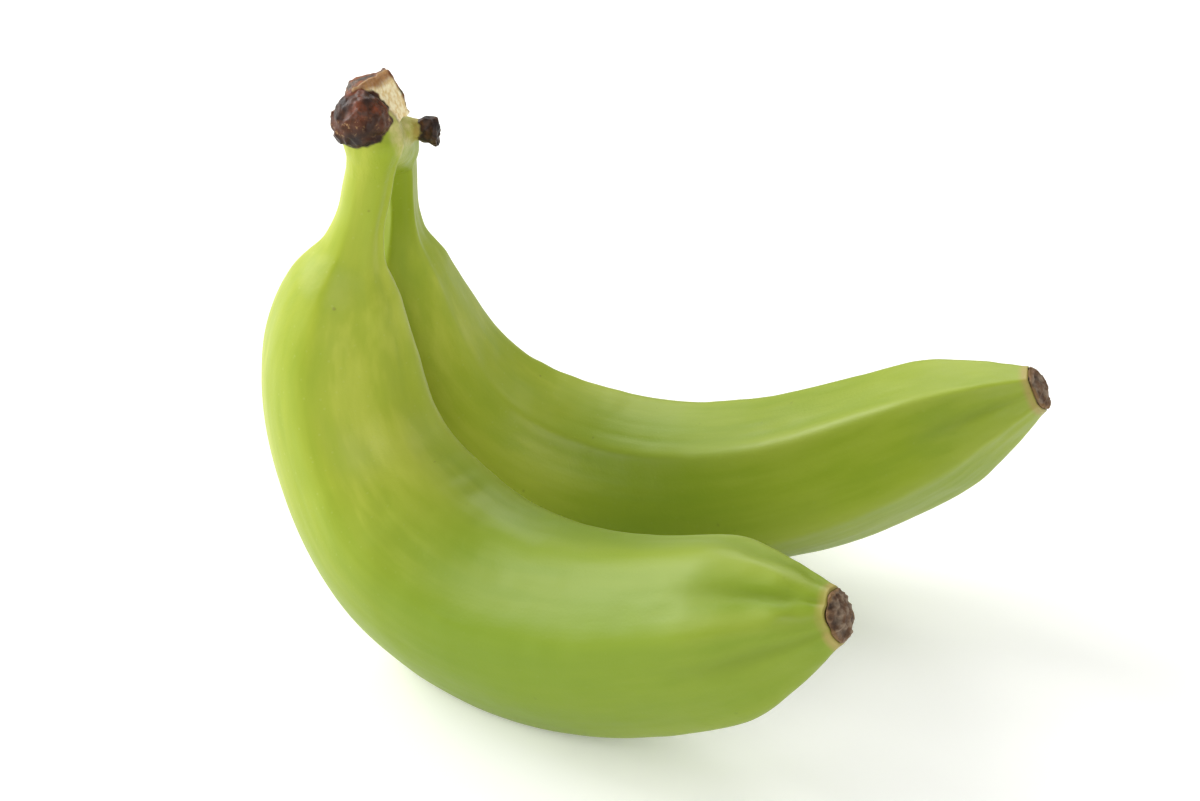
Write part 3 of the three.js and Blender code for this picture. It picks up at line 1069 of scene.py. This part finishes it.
@dataclass
class Crown(BunchPiece):
    """The crown: a saddle between two necks, a head with a knife-cut face, a callus and a neighbour's stalk.

    Places are in mm from the middle of the front neck's top, and so are the other sizes.
    """

    front: Finger
    back: Finger
    name: str = "crown_skin"
    node: str = "crown"
    slot: Slot = Slot.CALLUS
    saddle_radii: tuple[float, float] = (5.1, 4.6)
    saddle_start: Triple = (0.3, 0.6, 3.2)
    saddle_end: Triple = (0.3, -1.0, -1.9)  # from the back neck's top
    knife: Face = Face((3.5, -0.5, 5.5), (0.484, -0.754, 0.444))
    head: tuple[Face, ...] = (
        Face((3.6, 4.5, 14.6), (-0.33, -0.05, 0.94)),  # crest
        Face((3.6, 4.5, 14.6), (0.8, 0.52, 0.3)),  # right
        Face((-4.6, 2.0, 9.5), (-0.92, -0.2, 0.3)),  # left
        Face((0.0, 9.0, 9.0), (-0.1, 0.93, 0.35)),  # away from the cut
        Face((-5.6, 0.0, 5.0), (-1.0, 0.0, 0.0)),  # below the left
        Face((-2.0, -4.5, 5.0), (-0.3, -0.9, -0.3)),  # behind the callus
        Face((3.5, -0.5, 5.2), (0.3, -0.12, -1.0)),  # buried
    )
    head_edge: float = 0.6
    callus_half_sizes: Triple = (5.5, 5.2, 5.7)
    callus_middle: Triple = (-1.8, -1.2, 6.0)
    callus_foot: Face = Face((0.0, -5.6, 1.7), (0.0, 0.25, -1.0))
    stalk_start: Triple = (2.4, 11.0, 0.2)
    stalk_end: Triple = (9.2, 11.0, -0.1)
    stalk_radii: tuple[float, float] = (3.0, 1.9)
    stub_length: float = 2.4
    stub_radii: tuple[float, float] = (2.2, 2.7)
    stub_facing: Triple = (1.0, -0.1, -0.2)
    grain: float = 3.4  # the size of slow unevenness
    fine: float = 1.1
    wrinkle: float = 1.7  # from one wrinkle of the callus to the next
    wrinkle_depth: float = 0.55
    saddle_fillet: float = 2.2
    stalk_fillet: float = 2.4
    head_fillet: float = 1.4
    stub_fillet: float = 0.4
    callus_fillet: float = 0.3
    flare: float = 1.25  # of each neck, where it enters the crown
    sleeve: float = 9.0  # how far the crown's skin reaches down each neck
    collars: tuple[float, float] = (4.0, 0.8)  # how far it reaches up past each neck's top
    cell: float = 0.25
    coarse: int = 4  # cells to a block of the first, rough lattice
    reach: float = 2.8  # how far from the rough skin the fine lattice is worked out
    margin: float = 2.5
    seed: int = 11

    def sleeve_field(self, finger: Finger, points: Array) -> Array:
        """The flared top of a neck: its skin's radius, wider by the flare at the top and sunk at its end.

        Args:
            finger: the finger whose neck it is.
            points: places in mm, in the shared frame.

        Returns:
            How far the points are outside it, in mm.
        """
        collar = self.collars[finger is self.back]
        distance, radius, angle = finger.unbent(points)
        share = np.clip(distance / finger.growth.length, 0, 1)
        spread = (
            (-5, self.flare), (-1, 0.85 * self.flare), (2, 0.3 * self.flare), (5, 0.03),
            (self.sleeve, -0.3),
        )  # fmt: skip
        shell = radius - finger.skin_radius(share, angle) - curve_through(spread, distance)
        return cut(np.maximum(shell, distance - self.sleeve), -distance - collar, 2.4)

    def fields(self, points: Array) -> dict[str, Array]:
        """How far points are outside each lump of the crown, in mm.

        Args:
            points: places in mm, in the shared frame.

        Returns:
            The lumps' fields by name, and "skin", which joins them all.
        """
        local = points - self.front.neck
        apart = self.back.neck - self.front.neck
        grain = noise(local, self.grain, self.seed)
        fine = noise(local, self.fine, self.seed + 1)
        start, end = np.array(self.saddle_start), apart + np.array(self.saddle_end)
        saddle = bar(local, start, end, self.saddle_radii) + 0.25 * grain + 0.05 * fine
        tear = 0.14 * grain + 0.07 * fine
        knife = self.knife.past(local) + tear
        head = knife
        for face in self.head:
            head = cut(head, face.past(local) + 0.5 * grain + 0.35 * fine, self.head_edge)
        warped = local + 0.9 * grain[..., None]
        crests = folds(warped * (1, 1, 0.7), self.wrinkle, self.seed + 4)
        wrinkles = self.wrinkle_depth * (1 - crests) + 0.3 * fine
        callus = ball(local, np.array(self.callus_middle), np.array(self.callus_half_sizes))
        callus = callus + wrinkles + 0.35 * grain - 0.3
        callus = cut(callus, self.callus_foot.past(local) + 0.12 * grain, 0.5)
        stalk_end = np.array(self.stalk_end)
        stalk = bar(local, np.array(self.stalk_start), stalk_end, self.stalk_radii) + 0.15 * grain
        stub_end = stalk_end + np.array([self.stub_length, 0, -0.2])
        stub = bar(local, stalk_end + np.array([0.6, 0, 0]), stub_end, self.stub_radii)
        stub = cut(stub, Face(stub_end, self.stub_facing).past(local) + 0.25 * fine, 0.4)
        stub = stub + 0.9 * grain + 0.35 * fine + 0.6 * (1 - folds(local, 1.5, self.seed + 6)) - 0.35
        necks = np.minimum(self.sleeve_field(self.front, points), self.sleeve_field(self.back, points))
        skin = join(saddle, necks, self.saddle_fillet)
        fillets = (self.stalk_fillet, self.head_fillet, self.stub_fillet, self.callus_fillet)
        for lump, fillet in zip((stalk, head, stub, callus), fillets):
            skin = join(skin, lump, fillet)
        cut_head = {"saddle": saddle, "head": head, "knife": knife}
        return {**cut_head, "callus": callus, "stalk": stalk, "stub": stub, "skin": skin}

    def lattice(self, low: Array, high: Array) -> Array:
        """The joined field on a lattice.

        A rough lattice of blocks is worked out first, and then every cell of the blocks near its skin.

        Args:
            low: the lattice's lowest corner, in mm.
            high: its highest corner.

        Returns:
            The field at every corner of the lattice.
        """
        axes = [np.arange(low[k], high[k], self.cell) for k in range(3)]
        points = np.stack(np.meshgrid(*axes, indexing="ij"), axis=-1)
        values = self.fields(points[:: self.coarse, :: self.coarse, :: self.coarse])["skin"]
        for axis, line in enumerate(axes):
            values = np.repeat(values, self.coarse, axis=axis).take(np.arange(len(line)), axis=axis)
        near = np.abs(values) < self.reach
        values[near] = self.fields(points[near])["skin"]
        return values

    def build(self) -> bpy.types.Object:
        """The crown's skin, with a mark for each kind of tissue that shows.

        The skin is taken where the joined field is 0. Each mark falls from 1 on its own lump to 0 a little
        off it, along a line that noise makes ragged. Where the skin is peel, it carries on the pattern of the
        neck that it is nearer to, and that neck's painted highlight along the ridges.

        Returns:
            The crown's object.
        """
        low, high = (np.array(corner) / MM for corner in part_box(self.node))
        low = low - self.margin - np.array([0, 0, self.sleeve])
        vertices, faces = skin_round(self.lattice(low, high + self.margin), low, self.cell)
        at = self.fields(vertices)
        local = vertices - self.front.neck
        x, z = local[:, 0], local[:, 2]
        ragged = 0.35 * noise(local, 1.3, self.seed + 7) + 0.2 * noise(local, 0.6, self.seed + 8)
        stain = noise(local, 3.0, self.seed + 9)
        callus = ramp(at["callus"] + 0.3 * ragged, 0.4, 0.1)
        on_head = ramp(at["head"] + 0.5 * ragged, 0.8, 0.2) * ramp(at["saddle"] - at["head"], -0.6, 0.2)
        pith = on_head * ramp(np.abs(at["knife"]) + 0.25 * ragged, 0.55, 0.2)
        near_crest, right = (face.past(local) for face in self.head[:2])
        back_is_nearer = self.sleeve_field(self.back, vertices) < self.sleeve_field(self.front, vertices)
        front_grown, front_ridge_highlight = self.neck_marks(self.front, vertices)
        back_grown, back_ridge_highlight = self.neck_marks(self.back, vertices)
        # the necks' ridge mask places their painted highlight on the crown
        marks = {
            "grown": np.where(back_is_nearer[:, None], back_grown, front_grown),
            "ridge_highlight": np.where(back_is_nearer, back_ridge_highlight, front_ridge_highlight),
            "pale": ramp(x + 0.35 * z + 1.2 * ragged, 4.4, 6.2) * ramp(z, -5.5, 0.0),
            "stalk": ramp(at["stalk"] + 0.6 * ragged, 1.6, 0.4) * ramp(x + ragged, 6.2, 7.8),
            "bark": on_head,
            "pith": pith,
            "vein": pith * ramp(near_crest + 1.1 * stain + ragged, -2.2, -0.6),
            "rim": on_head * ramp(right + 0.6 * ragged, -0.75, -0.3) * ramp(at["knife"], -1.6, -0.6),
            "callus": callus,
            "flush": callus * ramp(stain + 0.12 * (z - 6), 0.0, 0.6),
            # pale flecks in the callus's middle band: partly its own specks, partly painted glossy highlights
            "fleck": callus * ramp(np.abs(z - 5.8), 3.8, 1.2) * ramp(stain, -0.3, 0.5),
            "stub": ramp(at["stub"] + 0.4 * ragged, 0.5, 0.1),
        }
        return make_piece(self.name, MM * vertices, [faces], marks)

    def neck_marks(self, finger: Finger, vertices: Array) -> tuple[Array, Array]:
        """A finger's own marks, carried on from its neck.

        Args:
            finger: the finger whose neck it is.
            vertices: places in mm, in the shared frame.

        Returns:
            The pattern's places and the mask of the painted highlight along the ridges.
        """
        distance, radius, angle = finger.unbent(vertices)
        share = np.clip(distance / finger.growth.length, 0, 1)
        return finger.grown(distance, radius, angle), finger.ridge_highlight_mask(share, angle)


# ------------------------------------------------------------------------------------------------------ scabs


@dataclass
class BlossomScab(BunchPiece):
    """The dried scab in the tip of a finger: a low button of folded layers with a ragged rim and two nibs."""

    finger: Finger
    name: str
    node: str
    seed: int
    slot: Slot = Slot.SCAB
    inset: float = 0.45  # mm, inside the rim of the tip
    thickness: float = 2.4  # mm
    sunk: float = 0.25  # mm, below the end of the finger
    rings: int = 90
    sides: int = 150
    nibs: Stations = ((155.0, 0.5), (-160.0, 0.4))  # angle in degrees, and half width in mm
    nib_stretch: float = 1.7  # of its half length to its half width

    def build(self) -> bpy.types.Object:
        """The scab's mesh.

        Its profile is a flattened round: the radius is the square root of a sine and the height a cosine. Its
        outer face is raised by folds that run across it, which fade out at the rim.

        Returns:
            The scab's object.
        """
        length = self.finger.growth.length
        angles = even_angles(self.sides)
        turn, angle = np.meshgrid(np.pi * (np.arange(self.rings) + 0.5) / self.rings, angles, indexing="ij")
        rim = self.finger.skin_radius(np.ones(1), angles) - self.inset
        ragged = noise(around(3.0, angle, 0.0), 1.3, self.seed)
        reach = np.sqrt(np.sin(turn))
        radius = rim * (1 + 0.05 * ragged) * reach
        flat = around(radius, angle, 0.0)
        outer = ramp(np.cos(turn), -0.2, 0.5)
        layered = folds(flat * (1, 0.35, 1), 1.0, self.seed + 1)
        crumpled = folds(flat, 1.4, self.seed + 2)
        relief = 0.6 * layered + 0.4 * crumpled
        core = np.exp(-((radius / (0.3 * rim)) ** 2))
        height = -self.thickness / 2 * np.cos(turn)
        lift = outer * (1.2 * (relief - 0.75) + 0.35 * core - 0.25 * ramp(reach, 0.3, 0.8))
        distance = length - self.sunk + self.thickness / 2 - height + lift
        skin = self.finger.bent(self.finger.slanted(distance, radius, angle), radius, angle)
        poles = np.array([distance[0].mean(), distance[-1].mean()])
        ends = self.finger.bent(poles, np.zeros(2), np.zeros(2))
        points = capped(skin[::-1], ends[::-1])
        raised = capped(relief[::-1], np.full(2, 0.5))
        edge = capped(ramp(reach + 0.12 * ragged, 0.86, 1.0)[::-1], np.zeros(2))
        faces = closed_grid_faces(self.rings, self.sides)
        for at, size in self.nibs:
            blob, blob_faces = self.nib(math.radians(at), size, len(points))
            points = np.concatenate([points, blob])
            raised = np.concatenate([raised, np.full(len(blob), 0.1)])
            edge = np.concatenate([edge, np.zeros(len(blob))])
            faces = faces + blob_faces
        return make_piece(self.name, MM * points, faces, {"raised": raised, "edge": edge})

    def nib(self, angle: float, size: float, first: int) -> tuple[Array, list[Array]]:
        """A dried nib at the rim: a small round lump, longer along the finger than across.

        Args:
            angle: where it is round the rim, in radians.
            size: its half width in mm.
            first: the number of its first vertex.

        Returns:
            Its vertices in mm and its faces.
        """
        rings, sides = 7, 10
        turn, round_it = np.meshgrid(
            np.pi * (np.arange(rings) + 0.5) / rings, even_angles(sides), indexing="ij"
        )
        rim = self.finger.skin_radius(np.ones(1), np.array([angle]))[0] - 0.8
        distance = self.finger.slanted(np.array(self.finger.growth.length + 0.2), rim, np.array(angle))
        middle = self.finger.bent(distance, rim, np.array(angle))
        _, along, belly, side = self.finger.spine(np.array(self.finger.growth.length))
        ball_points = capped(around(np.sin(turn), round_it, -np.cos(turn)), np.array([[0, 0, -1], [0, 0, 1]]))
        local = ball_points * (size, size, self.nib_stretch * size)
        return middle + local @ np.stack([belly, side, along]), closed_grid_faces(rings, sides, first)


# ----------------------------------------------------------------------------------------------------- studio


@dataclass(frozen=True)
class SoftLight:
    """A square soft box: where it stands from the middle of the bunch in metres, its side and its power."""

    name: str
    place: Triple
    side: float
    watts: float


@dataclass
class Studio:
    """A pale paper floor, a white room, soft boxes and the camera."""

    low: Vector
    high: Vector
    floor_size: float = 8.0
    floor_drop: float = 0.05 * MM  # so that it doesn't lie in the bunch's flats
    floor_glow: float = 0.2  # of the lit table under the paper
    room_glow: float = 0.1
    paper: str = "#f4f4f0"
    white: str = "#ffffff"
    elevation: float = 25.7  # degrees that the camera looks down
    distance: float = 0.5636
    aim: Triple = (-0.01124, 0.01012, -0.00699)  # from the middle of the bunch
    lens: float = 85.0
    sensor: float = 36.0
    lights: tuple[SoftLight, ...] = (
        SoftLight("left_soft_box", (-2.6, 0.0, 1.4), 1.6, 44.0),
        SoftLight("left_back_soft_box", (-2.0, 1.4, 1.6), 1.6, 66.0),
        SoftLight("right_soft_box", (2.4, 0.4, 1.8), 1.6, 20.0),
        SoftLight("front_soft_box", (0.0, -2.8, 1.6), 1.6, 45.0),
        SoftLight("back_soft_box", (0.0, 2.2, 2.2), 1.6, 36.0),
    )

    @property
    def middle(self) -> Vector:
        """The middle of the bunch's box."""
        return (self.low + self.high) / 2

    def build_floor(self) -> None:
        """A pale paper floor just under the bunch."""
        half = self.floor_size / 2
        corners = np.array([[-half, -half, 0], [half, -half, 0], [half, half, 0], [-half, half, 0]])
        floor = make_piece("paper_floor", corners - (0, 0, self.floor_drop), [np.array([[0, 1, 2, 3]])], {})
        material = new_material("Matt white background paper")
        surface = {
            "Base Color": linear(self.paper),
            "Roughness": 0.9,
            "Emission Color": linear(self.white),
            "Emission Strength": self.floor_glow,
        }
        shader = add_node(material.node_tree, "BsdfPrincipled", surface)
        add_node(material.node_tree, "OutputMaterial", {"Surface": shader})
        floor.data.materials.append(material)
        floor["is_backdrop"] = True

    def build_lights(self) -> None:
        """The white room and the soft boxes, each turned towards the bunch."""
        world = bpy.data.worlds.new("white_room")
        world.use_nodes = True
        world.node_tree.nodes.clear()
        tree = world.node_tree
        glow = add_node(tree, "Background", {"Color": linear(self.white), "Strength": self.room_glow})
        add_node(tree, "OutputWorld", {"Surface": glow})
        bpy.context.scene.world = world
        for spec in self.lights:
            light = bpy.data.lights.new(spec.name, "AREA")
            light.size = spec.side
            light.energy = spec.watts
            light.color = linear(self.white)[:3]
            holder = bpy.data.objects.new(spec.name, light)
            holder.location = self.middle + Vector(spec.place)
            holder.rotation_euler = (-Vector(spec.place)).to_track_quat("-Z", "Y").to_euler()
            bpy.context.scene.collection.objects.link(holder)

    def build_camera(self) -> None:
        """The camera, level from side to side, looking down at the bunch from the front."""
        camera = bpy.data.cameras.new("studio_camera")
        camera.lens = self.lens
        camera.sensor_width = self.sensor
        camera.clip_start, camera.clip_end = 0.01, 20.0
        holder = bpy.data.objects.new("studio_camera", camera)
        tilt = math.radians(self.elevation)
        back = Vector((0, -math.cos(tilt), math.sin(tilt)))
        holder.location = self.middle + Vector(self.aim) + self.distance * back
        holder.rotation_euler = (math.pi / 2 - tilt, 0, 0)
        bpy.context.scene.collection.objects.link(holder)
        bpy.context.scene.camera = holder

    def build(self) -> None:
        """The whole studio, with plain colours on screen."""
        self.build_floor()
        self.build_lights()
        self.build_camera()
        bpy.context.scene.view_settings.view_transform = "Standard"
        bpy.context.scene.view_settings.look = "None"


def main() -> None:
    """Builds the studio and the bunch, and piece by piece."""
    logging.basicConfig(level=logging.INFO, format="%(name)s: %(message)s")
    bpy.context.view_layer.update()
    Studio(*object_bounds()).build()
    peel, bark, scab = GreenPeel().material(), CrownBark().material(), FlowerScab().material()
    parts = (
        (FRONT, peel),
        (BACK, peel),
        (Crown(FRONT, BACK), bark),
        (BlossomScab(FRONT, "front_blossom_scab", "blossom_tip_front", 21), scab),
        (BlossomScab(BACK, "back_blossom_scab", "blossom_tip_back", 31), scab),
    )
    for part, finish in parts:
        piece = part.build()
        part.dress(piece, finish)
        log.info("%s: %d faces, finish %s", piece.name, len(piece.data.polygons), finish.name)


if __name__ == "__main__":
    main()
